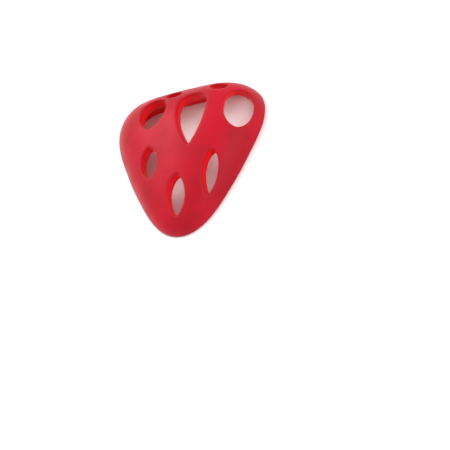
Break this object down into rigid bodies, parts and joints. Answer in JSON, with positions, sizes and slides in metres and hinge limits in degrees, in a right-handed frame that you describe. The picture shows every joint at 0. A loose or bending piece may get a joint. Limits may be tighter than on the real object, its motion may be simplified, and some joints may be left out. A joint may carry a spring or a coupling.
{
  "type": "finger exerciser",
  "caption": "Soft hollow web dome for hand therapy: fingers pass through its holes while the tail end is pulled or the dome is squeezed.",
  "frame": {"origin": "bottom centre of the bounding box, in the plane of the rim", "axes": "+Z out of the crown of the dome, +Y towards the fingers' end, -Y towards the pulled tail, +X towards the index finger's hole"},
  "size_m": [0.1122, 0.108, 0.0288],
  "materials": {
    "elastomer": "satin moulded"
  },
  "bodies": {
    "web": {"cheek_left": "elastomer", "bridge_left": "elastomer", "bridge_right": "elastomer", "cheek_right": "elastomer", "flank_left": "elastomer", "palm_pad": "elastomer", "flank_right": "elastomer", "strap_left": "elastomer", "strap_centre": "elastomer", "strap_right": "elastomer"},
    "hood": {"hood_left": "elastomer", "hood_mid_left": "elastomer", "hood_mid_right": "elastomer", "hood_right": "elastomer"},
    "neck": {"neck_left": "elastomer", "neck_right": "elastomer"},
    "tail": {"pull_tab": "elastomer"}
  },
  "joints": [
    {"name": "hood_flex", "type": "hinge", "parent": "web", "child": "hood", "pos_m": [0, 0.0239, 0.016], "axis": [1, 0, 0], "range_deg": [-12, 20], "stiffness_Nm_per_rad": 0.35, "deforming": ["cheek_left", "bridge_left", "bridge_right", "cheek_right"]},
    {"name": "neck_pull", "type": "slide", "parent": "web", "child": "neck", "axis": [0, -1, 0], "range_m": [0, 0.012], "stiffness_N_per_m": 900, "deforming": ["strap_left", "strap_centre", "strap_right"]},
    {"name": "tail_lift", "type": "hinge", "parent": "neck", "child": "tail", "pos_m": [0, -0.0271, 0.01], "axis": [-1, 0, 0], "range_deg": [-10, 35], "stiffness_Nm_per_rad": 0.15, "deforming": ["neck_left", "neck_right"]}
  ]
}
